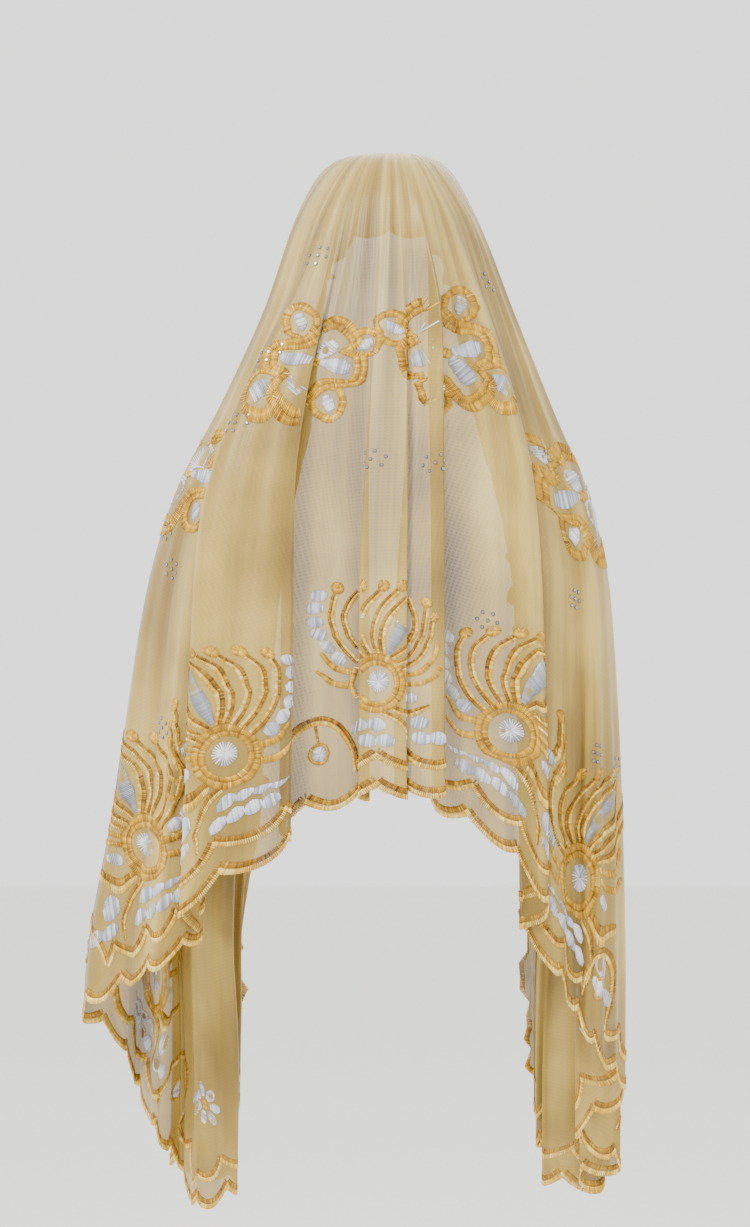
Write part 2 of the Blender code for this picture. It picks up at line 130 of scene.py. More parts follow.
floor_mesh = bpy.data.meshes.new("studio_floor")
floor_ways = ((-1, -1), (1, -1), (1, 1), (-1, 1))
floor_corners = [(x * FLOOR_HALF, y * FLOOR_HALF, FLOOR_LEVEL) for x, y in floor_ways]
floor_mesh.from_pydata(floor_corners, [], [(0, 1, 2, 3)])
floor = new_object("studio_floor", floor_mesh)
floor_paint, _, _ = new_material("matte_white_studio_floor", Base_Color=linear("F2F1EE"), Roughness=0.9)
floor_mesh.materials.append(floor_paint)

world = bpy.data.worlds.new("studio")
bpy.context.scene.world = world
world.use_nodes = True
world.node_tree.nodes["Background"].inputs["Color"].default_value = linear("FBFBFA")
world.node_tree.nodes["Background"].inputs["Strength"].default_value = WORLD_STRENGTH

Lamp = namedtuple("Lamp", "name place size watts")
LAMPS = (
    Lamp("key_softbox", (-1.7, -1.9, 1.5), 0.9, 80),
    Lamp("fill_softbox", (2.2, -1.8, 0.3), 1.8, 12),
    Lamp("back_softbox", (0.4, 2.2, 1.5), 1.6, 34),
)
for lamp in LAMPS:
    light = bpy.data.lights.new(lamp.name, "AREA")
    light.size = lamp.size
    light.energy = lamp.watts
    light_object = new_object(lamp.name, light)
    light_object.location = lamp.place
    x, y, z = LAMP_AIM - np.array(lamp.place)
    light_object.rotation_euler = (math.atan2(math.hypot(x, y), -z), 0, math.atan2(-x, y))
print("lamps:", [lamp.name for lamp in LAMPS])

# %% [markdown]
# ## How the flat cloth hangs
# A real shawl can bend but hardly stretch. So the drape is worked out from the flat rectangle: each
# straight line from the crown to the edge goes down a smooth body form, and the edge swings out and in
# to the places where the photograph shows each fold. A cloth simulation could make folds too, but not
# these ones in these places.

# %% The flat cloth, the body form and the folds, in mm
HALF_LENGTH = 930 * MM
BACK_WIDTH = 630 * MM
FRONT_WIDTH = 110 * MM
FRONT_CORNER = HALF_LENGTH + BACK_WIDTH + FRONT_WIDTH
HALF_EDGE = FRONT_CORNER + HALF_LENGTH
HEM_STRIP = 10 * MM
SCALLOP_RISE = 14 * MM
SCALLOP_PITCH = 58 * MM
CROWN_FLAT = 20 * MM
CROWN_TURN = 110 * MM
FOLD_START = 30 * MM

Level = namedtuple("Level", "depth left right back front")
LEVELS = [Level(*row) for row in (
    (0, 0, 0, 0, 0),
    (2, 32, 31, 34, 32),
    (7, 52, 49, 56, 52),
    (21, 68, 62, 78, 72),
    (56, 86, 80, 97, 88),
    (147, 117, 116, 110, 93),
    (238, 158, 154, 120, 96),
    (329, 204, 193, 130, 100),
    (420, 229, 212, 136, 101),
    (602, 255, 223, 142, 100),
    (784, 287, 227, 146, 99),
    (1010, 292, 226, 146, 98),
)]
Spread = namedtuple("Spread", "flat_deg plan_deg")
# flat_deg: way of a line on the flat cloth, from the back; plan_deg: its way round the body.
SPREADS = [Spread(*row) for row in (
    (0, 0), (20, 33), (35, 58), (45, 80), (56, 100), (75, 112),
    (97, 124), (112, 129), (142, 140), (165, 163), (180, 180),
)]
# along: distance along the flat edge from the centre back; x, y, depth: where the edge hangs there;
# full: the depth below which the fold is fully formed.
Fold = namedtuple("Fold", "name along x y depth full")
RIGHT_FOLDS = [Fold(*row) for row in (
    ("centre panel", 0, -12, -153, 575, 450),
    ("centre pleat edge", 30, 16, -150, 574, 470),
    ("centre pleat recess", 50, 5, -130, 574, 470),
    ("second panel start", 70, 20, -149, 573, 470),
    ("second pleat edge", 100, 49, -147, 573, 190),
    ("second pleat recess", 122, 37, -125, 580, 190),
    ("panel", 215, 104, -126, 624, 380),
    ("panel edge", 300, 142, -116, 686, 400),
    ("panel recess", 332, 118, -92, 698, 420),
    ("side ripple", 385, 148, -104, 735, 600),
    ("side panel", 450, 168, -82, 775, 700),
    ("side second ripple", 530, 190, -86, 815, 750),
    ("cascade edge", 640, 220, -30, 862, 800),
    ("cascade inner turn", 735, 176, -10, 905, 850),
    ("cascade second edge", 830, 218, 4, 938, 880),
    ("cascade last turn", 880, 180, 16, 952, 890),
    ("back corner", 930, 206, 28, 966, 900),
    ("end first turn", 1020, 148, 42, 958, 900),
    ("end first edge", 1120, 212, 55, 945, 880),
    ("end second turn", 1230, 144, 69, 930, 870),
    ("end second edge", 1340, 206, 82, 915, 850),
    ("end third turn", 1450, 142, 95, 905, 840),
    ("end third edge", 1560, 192, 107, 895, 830),
    ("front corner", 1670, 146, 119, 890, 800),
    ("front hem low", 1850, 136, 125, 692, 640),
    ("front hem middle", 2050, 132, 123, 492, 440),
    ("front hem shoulder", 2250, 108, 113, 300, 260),
)]
LEFT_FOLDS = [Fold(*row) for row in (
    ("centre pleat left edge", -15, -29, -150, 575, 470),
    ("centre pleat left recess", -34, -18, -130, 577, 470),
    ("inner panel", -100, -60, -124, 588, 470),
    ("inner panel recess", -146, -100, -124, 606, 470),
    ("panel edge", -166, -88, -146, 618, 450),
    ("panel", -225, -145, -146, 648, 420),
    ("panel outer edge", -284, -190, -124, 690, 400),
    ("panel recess", -312, -170, -96, 704, 420),
    ("side ripple", -375, -206, -112, 730, 600),
    ("side panel", -450, -238, -84, 752, 700),
    ("outer tip", -545, -286, -30, 788, 740),
    ("cascade turn", -610, -256, 22, 822, 780),
    ("cascade edge", -680, -245, 62, 868, 820),
    ("cascade inner turn", -760, -222, 28, 912, 860),
    ("cascade second edge", -840, -204, 66, 946, 900),
    ("back corner", -930, -184, 34, 982, 920),
    ("end first turn", -1020, -146, 62, 970, 900),
    ("end first edge", -1120, -214, 84, 950, 880),
    ("end second turn", -1230, -150, 94, 930, 870),
    ("end second edge", -1340, -210, 104, 915, 850),
    ("end third turn", -1450, -148, 112, 905, 840),
    ("end third edge", -1560, -198, 121, 895, 830),
    ("front corner", -1670, -162, 131, 890, 800),
    ("front hem low", -1850, -142, 133, 692, 640),
    ("front hem middle", -2050, -118, 129, 492, 440),
    ("front hem shoulder", -2250, -106, 114, 300, 260),
)]
# The front edge is alike on both sides of the face.
FACE_FOLDS = [Fold(*row) for row in (
    ("front hem cheek", 2380, 76, 99, 178, 150),
    ("front hem temple", 2480, 60, 87, 98, 90),
    ("front hem brow", 2550, 37, 92, 60, 55),
    ("centre front", 2600, 0, 95, 48, 45),
)]
FACE_FOLDS += [fold._replace(along=-fold.along, x=-fold.x) for fold in FACE_FOLDS]
FOLDS = sorted(LEFT_FOLDS + RIGHT_FOLDS + FACE_FOLDS, key=lambda fold: fold.along)
print("fold lines:", len(FOLDS))


# %% Curves through the tables
def smooth_curve(stations, values, at):
    """Monotone cubic through the stations: it never passes beyond a fold's own turning point."""
    stations = np.asarray(stations, float)
    values = np.asarray(values, float)
    steps = np.diff(stations)
    slopes = np.diff(values) / steps
    tangents = np.zeros(len(stations))
    same_way = slopes[:-1] * slopes[1:] > 0
    inner = 2 * slopes[:-1] * slopes[1:] / np.where(same_way, slopes[:-1] + slopes[1:], 1)
    tangents[1:-1] = np.where(same_way, inner, 0)
    tangents[0], tangents[-1] = slopes[0], slopes[-1]
    at = np.clip(at, stations[0], stations[-1])
    span = np.clip(np.searchsorted(stations, at, side="right") - 1, 0, len(steps) - 1)
    t = (at - stations[span]) / steps[span]
    rise = values[span + 1] - values[span]
    start = tangents[span] * steps[span]
    end = tangents[span + 1] * steps[span]
    return values[span] + start * t + (3 * rise - 2 * start - end) * t**2 + (start + end - 2 * rise) * t**3


def unit(vectors):
    return vectors / np.maximum(np.linalg.norm(vectors, axis=-1, keepdims=True), 1e-12)


def ease(share):
    """0 to 1 along a share of the way, slowly at both ends."""
    share = np.clip(share, 0, 1)
    return share * share * (3 - 2 * share)


def flat_edge_point(along):
    """Point of the flat rectangle's edge at a distance along it from the centre back."""
    side = np.sign(along) + (along == 0)
    run = np.abs(along)
    end_run = np.clip(run - HALF_LENGTH, 0, BACK_WIDTH + FRONT_WIDTH)
    front_run = np.clip(run - FRONT_CORNER, 0, HALF_LENGTH)
    return side * (np.minimum(run, HALF_LENGTH) - front_run), end_run - BACK_WIDTH


LEVEL_STEPS = np.concatenate(([0], np.cumsum([
    math.hypot(b.depth - a.depth, (b.left + b.back - a.left - a.back) / 2)
    for a, b in zip(LEVELS, LEVELS[1:])
])))
FORM_POWER = 0.92


def body_form(plan_angle, step):
    """Point on the smooth form under the folds, at a plan angle from the back and a step down it."""
    depth, left, right, back, front = (
        smooth_curve(LEVEL_STEPS, [getattr(level, field) for level in LEVELS], step) * MM
        for field in Level._fields
    )
    sideways = np.sin(plan_angle)
    backwards = np.cos(plan_angle)
    x = np.where(sideways < 0, left, right) * np.sign(sideways) * np.abs(sideways) ** FORM_POWER
    y = -np.where(backwards > 0, back, front) * np.sign(backwards) * np.abs(backwards) ** FORM_POWER
    return np.stack([x, y, -depth], axis=-1)


# %% The drape of every line from the crown to the edge
WALK_STEPS = 300
BACK_STEP = 4.4 * MM
FRONT_STEP = 9.5 * MM
RING_COUNT = 78
FIRST_SHARE = 0.012
SHARE_POWER = 1.08

back_count = round(2 * FRONT_CORNER / BACK_STEP)
front_count = round(HALF_LENGTH / FRONT_STEP)
along = np.concatenate([
    np.linspace(-HALF_EDGE, -FRONT_CORNER, front_count, endpoint=False),
    np.linspace(-FRONT_CORNER, FRONT_CORNER, back_count, endpoint=False),
    np.linspace(FRONT_CORNER, HALF_EDGE, front_count + 1),
])
shares = FIRST_SHARE + (1 - FIRST_SHARE) * np.linspace(0, 1, RING_COUNT) ** SHARE_POWER


def drape(along, shares):
    """Hanging places for every column along the edge and every share of the way there from the crown."""
    u, v = flat_edge_point(along)
    flat_angle = np.arctan2(u, -v)
    plan_angle = np.sign(flat_angle) * np.radians(smooth_curve(
        [row.flat_deg for row in SPREADS], [row.plan_deg for row in SPREADS], np.degrees(np.abs(flat_angle))
    ))
    stations = [fold.along * MM for fold in FOLDS]
    edge_x, edge_y, edge_depth, full = (
        smooth_curve(stations, [getattr(fold, field) * MM for fold in FOLDS], along)
        for field in ("x", "y", "depth", "full")
    )
    walk = np.linspace(0, LEVEL_STEPS[-1], WALK_STEPS)
    places = np.empty((len(along), len(shares), 3))
    for i in range(len(along)):
        path = body_form(np.full(WALK_STEPS, plan_angle[i]), walk)
        travelled = np.concatenate(([0], np.cumsum(np.linalg.norm(np.diff(path, axis=0), axis=1))))
        edge_travel = np.interp(edge_depth[i], -path[:, 2], travelled)
        edge_form = body_form(plan_angle[i], np.interp(edge_travel, travelled, walk))
        turn = ease((shares * math.hypot(u[i], v[i]) - CROWN_FLAT) / CROWN_TURN)
        angle = flat_angle[i] + (plan_angle[i] - flat_angle[i]) * turn
        here = body_form(angle, np.interp(shares * edge_travel, travelled, walk))
        folded = ease((-here[:, 2] - FOLD_START) / max(full[i] - FOLD_START, CROWN_FLAT))
        hang = max(math.cos(plan_angle[i]), 0) ** 2
        shift = np.array([edge_x[i], edge_y[i]]) - edge_form[:2] + hang * (edge_form[:2] - here[:, :2])
        here[:, :2] += shift * folded[:, None]
        places[i] = here
    return places


places = drape(along, shares)
print("drape columns and rings:", places.shape[:2])


# %% [markdown]
# ## Creases and soft ripples
# Between the big folds the cloth pulls in fine straight creases that fan out from the crown, and soft
# ripples run down the hanging panels. They are small pushes along the cloth's own outward way, so they
# bend it without stretching it.

# %% Outward ways, creases and ripples
def grid_normals(grid):
    """Unit outward ways of a grid of places, columns by rings."""
    sideways = np.gradient(grid, axis=0)
    downwards = np.gradient(grid, axis=1)
    return unit(np.cross(downwards, sideways))


# along: where the crease points to on the edge; width: its width there; start, end: shares of the way
# from the crown between which it stands out; height: how far.
Crease = namedtuple("Crease", "along width start end height")
CREASES = [Crease(*row) for row in (
    (-1120, 46, 0.04, 0.50, 3.0),
    (-840, 40, 0.05, 0.62, 3.0),
    (-690, 34, 0.06, 0.60, 2.6),
    (-560, 34, 0.08, 0.66, 3.0),
    (-470, 26, 0.10, 0.70, 2.4),
    (-395, 24, 0.06, 0.62, 2.6),
    (-330, 18, 0.12, 0.70, 2.2),
    (-255, 18, 0.16, 0.90, 1.6),
    (-190, 12, 0.10, 0.95, 1.4),
    (-124, 12, 0.14, 0.90, 1.4),
    (-78, 11, 0.12, 0.96, 1.5),
    (2, 9, 0.10, 0.90, 1.0),
    (86, 9, 0.12, 0.95, 1.0),
    (160, 14, 0.10, 0.85, 1.6),
    (196, 12, 0.18, 0.95, 1.4),
    (262, 18, 0.12, 0.90, 1.8),
    (360, 20, 0.10, 0.66, 2.2),
    (420, 22, 0.06, 0.60, 2.6),
    (490, 26, 0.10, 0.70, 2.6),
    (580, 32, 0.08, 0.62, 2.8),
    (700, 36, 0.06, 0.58, 2.8),
    (860, 42, 0.05, 0.60, 3.0),
    (1120, 46, 0.04, 0.50, 3.0),
)]
CREASE_SHARPNESS = 2.2
CREASE_GROWTH, CREASE_FADE = 0.12, 0.3
RIPPLE_WIDTH = 41 * MM
RIPPLE_HEIGHT = 1.1 * MM
RIPPLE_DRIFT = 230 * MM
RIPPLE_START, RIPPLE_GROWTH = 0.35, 0.4
RIPPLE_SWAY = 1.3
RIPPLE_SWELL, SWELL_RATE = 0.5, 9
JOIN_FADE = 80 * MM

push = np.zeros(places.shape[:2])
for crease in CREASES:
    across = (along - crease.along * MM) / (crease.width * MM)
    profile = np.exp(-(across ** 2) * CREASE_SHARPNESS)
    down = ease((shares - crease.start) / CREASE_GROWTH) * ease((crease.end - shares) / CREASE_FADE)
    push += crease.height * MM * profile[:, None] * down[None, :]
wave = np.sin(along / RIPPLE_WIDTH * 2 * math.pi + RIPPLE_SWAY * np.sin(along / RIPPLE_DRIFT))
growth = ease((shares - RIPPLE_START) / RIPPLE_GROWTH) * (1 + RIPPLE_SWELL * np.sin(shares * SWELL_RATE))
push += RIPPLE_HEIGHT * wave[:, None] * growth[None, :]
fade_at_joins = ease((HALF_EDGE - np.abs(along)) / JOIN_FADE)
places += grid_normals(places) * (push * fade_at_joins[:, None])[..., None]
normals = grid_normals(places)
print("creases:", len(CREASES))

# %% [markdown]
# ## The scalloped rim
# Beyond the rectangle the cloth goes on for a narrow strip and then in round scallops. On the back and
# the ends it goes straight on from the lines that come down from the crown. Along the front edge, where
# those lines run nearly beside the edge, it goes square to the edge instead.

# %% Ways out over the rim, and the scallops' reach
RIM_ROWS = 5
SCALLOP_POWER = 0.8
FRONT_STRIP = 2 * MM
FRONT_REACH = 9 * MM
CORNER_HALF = 10 * MM
SQUARE_WITHIN = 25 * MM


def scallop(along):
    """How far a scallop stands out at a distance along the edge."""
    return np.abs(np.sin(math.pi * along / SCALLOP_PITCH)) ** SCALLOP_POWER


def edge_reach(along):
    """How far the cloth goes beyond the rectangle, at a distance along its edge."""
    front = ease((np.abs(along) - FRONT_CORNER + CORNER_HALF) / (2 * CORNER_HALF))
    behind = HEM_STRIP + SCALLOP_RISE * scallop(along)
    return behind * (1 - front) + (FRONT_STRIP + FRONT_REACH * scallop(along)) * front


rim = places[:, -1]
down = unit(rim - places[:, -2])
square = unit(np.cross(normals[:, -1], np.gradient(rim, axis=0)))
square *= np.sign((square * down).sum(axis=1, keepdims=True))
front_share = ease((np.abs(along) - FRONT_CORNER) / SQUARE_WITHIN)[:, None]
out_ways = unit(down * (1 - front_share) + square * front_share)
print("reach of a scallop in mm:", np.round(edge_reach(np.array([SCALLOP_PITCH / 2])) / MM, 1))


# %% [markdown]
# ## From a flat point to the hanging cloth
# All the embroidery is drawn on the flat cloth, as it was stitched, in metres across (u) and up (v)
# from the crown. One function then finds where each flat point hangs and which way is outwards there,
# so every stitch follows the folds.

# %% Map flat points onto the drape
def blend(grid, i, j, a, b):
    """Grid values between columns i and i + 1 at a share a, and between rows j and j + 1 at a share b."""
    return (grid[i, j] * (1 - a) + grid[i + 1, j] * a) * (1 - b) + (
        grid[i, j + 1] * (1 - a) + grid[i + 1, j + 1] * a) * b


def on_cloth(points, lift=0.0):
    """Hanging places and outward ways of flat points; lift is the height above the cloth."""
    points = np.asarray(points, float)
    u = np.clip(points[:, 0], -HALF_LENGTH, HALF_LENGTH)
    v = np.clip(points[:, 1], -BACK_WIDTH, FRONT_WIDTH)
    beyond = np.maximum(np.abs(points[:, 0] - u), np.abs(points[:, 1] - v))
    share = np.maximum.reduce([np.abs(u) / HALF_LENGTH, -v / BACK_WIDTH, v / FRONT_WIDTH])
    edge_u, edge_v = u / share, v / share
    at_back = -v / BACK_WIDTH >= share - 1e-9
    at_front = v / FRONT_WIDTH >= share - 1e-9
    side = np.where(edge_u < 0, -1, 1)
    run = np.where(at_front, HALF_EDGE - np.abs(edge_u), HALF_LENGTH + BACK_WIDTH + edge_v)
    edge_along = np.where(at_back, edge_u, side * run)
    column = np.interp(edge_along, along, np.arange(len(along)))
    ring = np.interp(share, shares, np.arange(len(shares)))
    i = np.minimum(column.astype(int), len(along) - 2)
    j = np.minimum(ring.astype(int), len(shares) - 2)
    a, b = (column - i)[:, None], (ring - j)[:, None]
    out = out_ways[i] * (1 - a) + out_ways[i + 1] * a
    ways = unit(blend(normals, i, j, a, b))
    return blend(places, i, j, a, b) + out * beyond[:, None] + ways * lift, ways


crown_test, _ = on_cloth([(0.0, -0.3)])
print("a point 30 cm below the crown hangs at", np.round(crown_test[0], 3))

# %% [markdown]
# ## The sheet of organza
# Organza is woven from fine twisted yarns with open gaps, so it is stiff, thin and see-through. One
# layer of mesh stands for it, and its UV map is the flat cloth in metres, so the weave keeps its scale.

# %% Build the cloth's mesh
def build_sheet():
    """Vertices, their flat places, and faces, from a point at the crown to the scallops."""
    columns = len(along) - 1
    reach = edge_reach(along)[:, None]
    rim_parts = np.linspace(0, 1, RIM_ROWS + 1)[1:]
    rim_rows = [rim + out_ways * reach * part for part in rim_parts]
    grid = np.concatenate([places, np.stack(rim_rows, axis=1)], axis=1)[:-1]
    edge_u, edge_v = flat_edge_point(along[:-1])
    edge = np.stack([edge_u, edge_v], axis=1)
    on_end = np.abs(edge_u) > HALF_LENGTH - 1e-6
    upright = np.where(edge_v > FRONT_WIDTH - 1e-6, 1.0, -1.0 * (edge_v < -BACK_WIDTH + 1e-6))
    outwards = np.stack([np.sign(edge_u) * on_end, upright], axis=1)
    flat = [edge * share for share in shares] + [edge + outwards * reach[:-1] * part for part in rim_parts]
    flat = np.stack(flat, axis=1)
    rows = grid.shape[1]
    vertices = np.concatenate([[[0, 0, 0]], grid.reshape(-1, 3)])
    flat = np.concatenate([[[0, 0]], flat.reshape(-1, 2)])
    faces = []
    for i in range(columns):
        right = (i + 1) % columns
        faces.append((0, 1 + i * rows, 1 + right * rows))
        faces += [(1 + i * rows + j + 1, 1 + right * rows + j + 1, 1 + right * rows + j, 1 + i * rows + j)
                  for j in range(rows - 1)]
    return vertices, flat, faces


def mesh_piece(name, vertices, faces, material, uv):
    """A smooth mesh object at the origin, whose UV map is its flat places."""
    mesh = bpy.data.meshes.new(name)
    mesh.from_pydata([tuple(vertex) for vertex in vertices], [], faces)
    mesh.update()
    layer = mesh.uv_layers.new(name="flat_cloth")
    corners = np.empty(len(mesh.loops), dtype=np.int32)
    mesh.loops.foreach_get("vertex_index", corners)
    layer.data.foreach_set("uv", np.asarray(uv, np.float32)[corners].ravel())
    mesh.polygons.foreach_set("use_smooth", [True] * len(mesh.polygons))
    mesh.materials.append(material)
    return new_object(name, mesh)


# %% [markdown]
# The weave is two sets of fine stripes, warp and weft. Real organza has about 25 yarns a centimetre,
# too fine for this picture, so the stripes are drawn 1.5 mm wide. The stiff cloth also creases in fine
# lines that fan out from the crown. They come from a noise that is read by the angle round the crown and
# the distance from it. It bends the surface, and it also paints lighter and darker streaks along the
# creases into the cloth's colour, a painted highlight and shade, mixed with a tone that drifts at random.
# The gaps of the weave let light and what lies behind show through, and so the cloth covers a little
# more where both yarns cross.

# %% Woven silk organza
WEAVE_SCALE = 105.0
CREASE_SPREAD = (13.0, 1.6, 1.0)
CLOTH_STOPS = ((0.0, "745A1E"), (0.5, "A48634"), (1.0, "D0B25A"))
LEAST_COVER = 0.85
YARN_COVER = 0.1
CREASE_SHADE_SHARE = 1.3
SHADE_AND_TONE_RANGE = {"From Min": 0.88, "From Max": 1.42}


def woven_organza():
    material, tree, shader = new_material(
        "woven_gold_organza", Roughness=0.4, Sheen_Weight=0.3, Sheen_Roughness=0.35, IOR=1.5
    )
    flat = add_node(tree, "ShaderNodeUVMap", {"uv_map": "flat_cloth"})
    split = add_node(tree, "ShaderNodeSeparateXYZ", Vector=flat.outputs["UV"])
    angle = add_node(tree, "ShaderNodeMath", {"operation": "ARCTAN2"},
                     i0=split.outputs["X"], i1=split.outputs["Y"])
    reach = add_node(tree, "ShaderNodeVectorMath", {"operation": "LENGTH"}, i0=flat.outputs["UV"])
    fanned = add_node(tree, "ShaderNodeCombineXYZ", X=angle.outputs[0], Y=reach.outputs["Value"])
    spread = add_node(tree, "ShaderNodeMapping", Vector=fanned.outputs[0], Scale=CREASE_SPREAD)
    creased = add_node(tree, "ShaderNodeTexNoise", Vector=spread.outputs["Vector"], Scale=1.0, Detail=6.0)
    drift = add_node(tree, "ShaderNodeTexNoise", Vector=flat.outputs["UV"], Scale=7.0, Detail=3.0)
    warp, weft = (
        add_node(tree, "ShaderNodeTexWave", {"bands_direction": way},
                 Vector=flat.outputs["UV"], Scale=WEAVE_SCALE)
        for way in "XY"
    )
    weave = add_node(tree, "ShaderNodeMath", {"operation": "MULTIPLY"},
                     i0=warp.outputs["Fac"], i1=weft.outputs["Fac"])
    mixed = add_node(tree, "ShaderNodeMath", {"operation": "MULTIPLY_ADD"},
                     i0=creased.outputs["Fac"], i1=CREASE_SHADE_SHARE, i2=drift.outputs["Fac"])
    # Painted highlight and shade: the crease noise makes the cloth's colour lighter and darker in streaks
    # along the creases, and the drift noise varies its tone at random.
    shade_and_tone = add_node(tree, "ShaderNodeMapRange", Value=mixed.outputs[0], **SHADE_AND_TONE_RANGE)
    colour = add_node(tree, "ShaderNodeValToRGB", stops=CLOTH_STOPS, Fac=shade_and_tone.outputs[0])
    tree.links.new(colour.outputs["Color"], shader.inputs["Base Color"])
    cover = add_node(tree, "ShaderNodeMath", {"operation": "MULTIPLY_ADD"},
                     i0=weave.outputs[0], i1=YARN_COVER, i2=LEAST_COVER)
    tree.links.new(cover.outputs[0], shader.inputs["Alpha"])
    fold = add_node(tree, "ShaderNodeBump", Strength=0.75, Distance=0.006, Height=creased.outputs["Fac"])
    bump = add_node(tree, "ShaderNodeBump", Strength=0.12, Distance=0.0004, Height=weave.outputs[0],
                    Normal=fold.outputs["Normal"])
    tree.links.new(bump.outputs["Normal"], shader.inputs["Normal"])
    return material


sheet_vertices, sheet_flat, sheet_faces = build_sheet()
organza_sheet = mesh_piece("organza_sheet", sheet_vertices, sheet_faces, woven_organza(), sheet_flat)
print("sheet faces:", len(sheet_faces))

# %% [markdown]
# ## Satin stitches
# All the embroidery is satin stitch: short threads laid side by side across a line. A line is drawn on
# the flat cloth with a width at each point, and one stitch is laid across it every 1.25 mm, or 1.5 mm in
# the long border. Real threads are 0.4 mm apart, too fine for this picture, so each stitch stands for
# three or four of them. The same tool makes bands, rings, petals and ovals, because only the width changes
# along the line. Wide bands are stitched in two rows, as on the real cloth, and one row is painted lighter
# than the other, a painted sheen where its threads catch the light.

# %% Draw lines of stitches on the flat cloth
STITCH_PITCH = 1.25
LEAST_STITCHES, LEAST_IN_RING = 3, 22
CURVE_STEPS = 14
LOOK_AHEAD = 0.4
WIDTH_JITTER = 0.05
TONE_JITTER = 0.09
ROW_FILL = 0.93
# How much lighter one row of a two-row band is painted than the other, a painted sheen.
ROW_SHEEN = 0.34
LONGEST_STRETCH = 2.2
STRETCH_SLACK = 3.0
LEAST_OPEN, MOTIF_OPEN = 0.3, 0.7
rng = np.random.default_rng(7)


def smooth_line(points, closed):
    """Points of a Catmull-Rom curve through the given points, finely spaced."""
    points = np.asarray(points, float)
    if closed:
        points = np.concatenate([points[-1:], points, points[:2]])
    else:
        points = np.concatenate([[2 * points[0] - points[1]], points, [2 * points[-1] - points[-2]]])
    t = np.linspace(0, 1, CURVE_STEPS, endpoint=False)[:, None]
    parts = []
    for a, b, c, d in zip(points, points[1:], points[2:], points[3:]):
        bend, twist = 2 * a - 5 * b + 4 * c - d, 3 * b - a - 3 * c + d
        parts.append(0.5 * (2 * b + (c - a) * t + bend * t**2 + twist * t**3))
    return np.concatenate(parts + [points[-2:-1]])


class Stitching:
    """Stitches of one thread colour: the two flat ends of each, and how light it is.

    A stitch whose ends hang closer than least_open times its length lies across a fold and is left out.
    So is one that is pulled out too far where its motif is spread past a fold.
    """

    def __init__(self, name, pitch=STITCH_PITCH, least_open=LEAST_OPEN):
        self.name, self.pitch, self.least_open = name, pitch, least_open
        self.lefts, self.rights, self.shades, self.opens = [], [], [], []

    def line(self, points, widths, closed=False, spot=None, curved=True, rows=1):
        """Lay rows of stitches across a line of points in mm, with widths spaced evenly along it."""
        fine = smooth_line(points, closed) if curved else np.asarray(points, float)
        run = np.concatenate(([0], np.cumsum(np.linalg.norm(np.diff(fine, axis=0), axis=1))))
        count = max(LEAST_IN_RING if closed else LEAST_STITCHES, round(run[-1] / self.pitch))
        at = (np.arange(count) + 0.5) / count * run[-1]
        centre, ahead, behind = (
            np.stack([np.interp(np.clip(at + shift, 0, run[-1]), run, fine[:, k]) for k in range(2)], axis=1)
            for shift in (0, LOOK_AHEAD, -LOOK_AHEAD)
        )
        way = unit(ahead - behind)
        widths = np.atleast_1d(np.asarray(widths, float))
        half = np.interp(at / run[-1], np.linspace(0, 1, len(widths)), widths) / 2
        half = half * (1 + rng.uniform(-WIDTH_JITTER, WIDTH_JITTER, count))
        across = np.stack([way[:, 1], -way[:, 0]], axis=1) * half[:, None]
        move = spot or (lambda flat: flat)
        step = way * STITCH_PITCH / 2
        spread = np.linalg.norm(move(centre + step) - move(centre - step), axis=1) / STITCH_PITCH
        for k in range(rows):
            left = move(centre + across * (2 * k / rows - 1))
            right = move(centre + across * (2 * (k + ROW_FILL) / rows - 1))
            shade = np.clip(0.5 + ROW_SHEEN * (k - (rows - 1) / 2) + rng.normal(0, TONE_JITTER, count), 0, 1)
            whole = np.linalg.norm(right - left, axis=1) < LONGEST_STRETCH * 2 * half + STRETCH_SLACK
            whole &= spread < LONGEST_STRETCH
            self.lefts.append(left[whole] * MM)
            self.rights.append(right[whole] * MM)
            self.shades.append(shade[whole])
            self.opens.append(np.full(np.count_nonzero(whole), self.least_open))

    def count(self):
        return sum(len(part) for part in self.lefts)


# %% [markdown]
# Where a motif lies across a pleat, part of it would be folded out of sight. In the photograph most of each
# motif shows, so each is drawn about its own middle and then spread over the cloth that is seen from
# behind, past the hidden folds.

# %% Places of motifs on the folded cloth
SPOT_REACH = 130
SPOT_STEP = 2.0
DROP_STEP = 5.0
DROPS = np.arange(-90, 111, DROP_STEP)
NEAR_COLUMNS = 12
LEAST_SEEN, MOST_SEEN = 0.6, 1.7
MOST_SLANT = 22
UPRIGHT_FROM, UPRIGHT_WITHIN = -40, 25


def seen_offsets(row, start, side):
    """Width seen from behind between a start column and each column beside it, without hidden folds."""
    gone = side * (row[start::side] - row[start])
    furthest = np.maximum.accumulate(gone)
    shown = np.append(0, np.diff(furthest))
    in_view = (shown > 0) & (np.arange(len(gone)) <= np.argmax(gone))
    shown = np.where(in_view, np.clip(shown, LEAST_SEEN * SPOT_STEP, MOST_SEEN * SPOT_STEP), 0)
    shown[np.argmax(gone) + 1:] = SPOT_STEP
    shown[0] = 0
    return np.cumsum(shown) + 1e-6 * np.arange(len(shown))


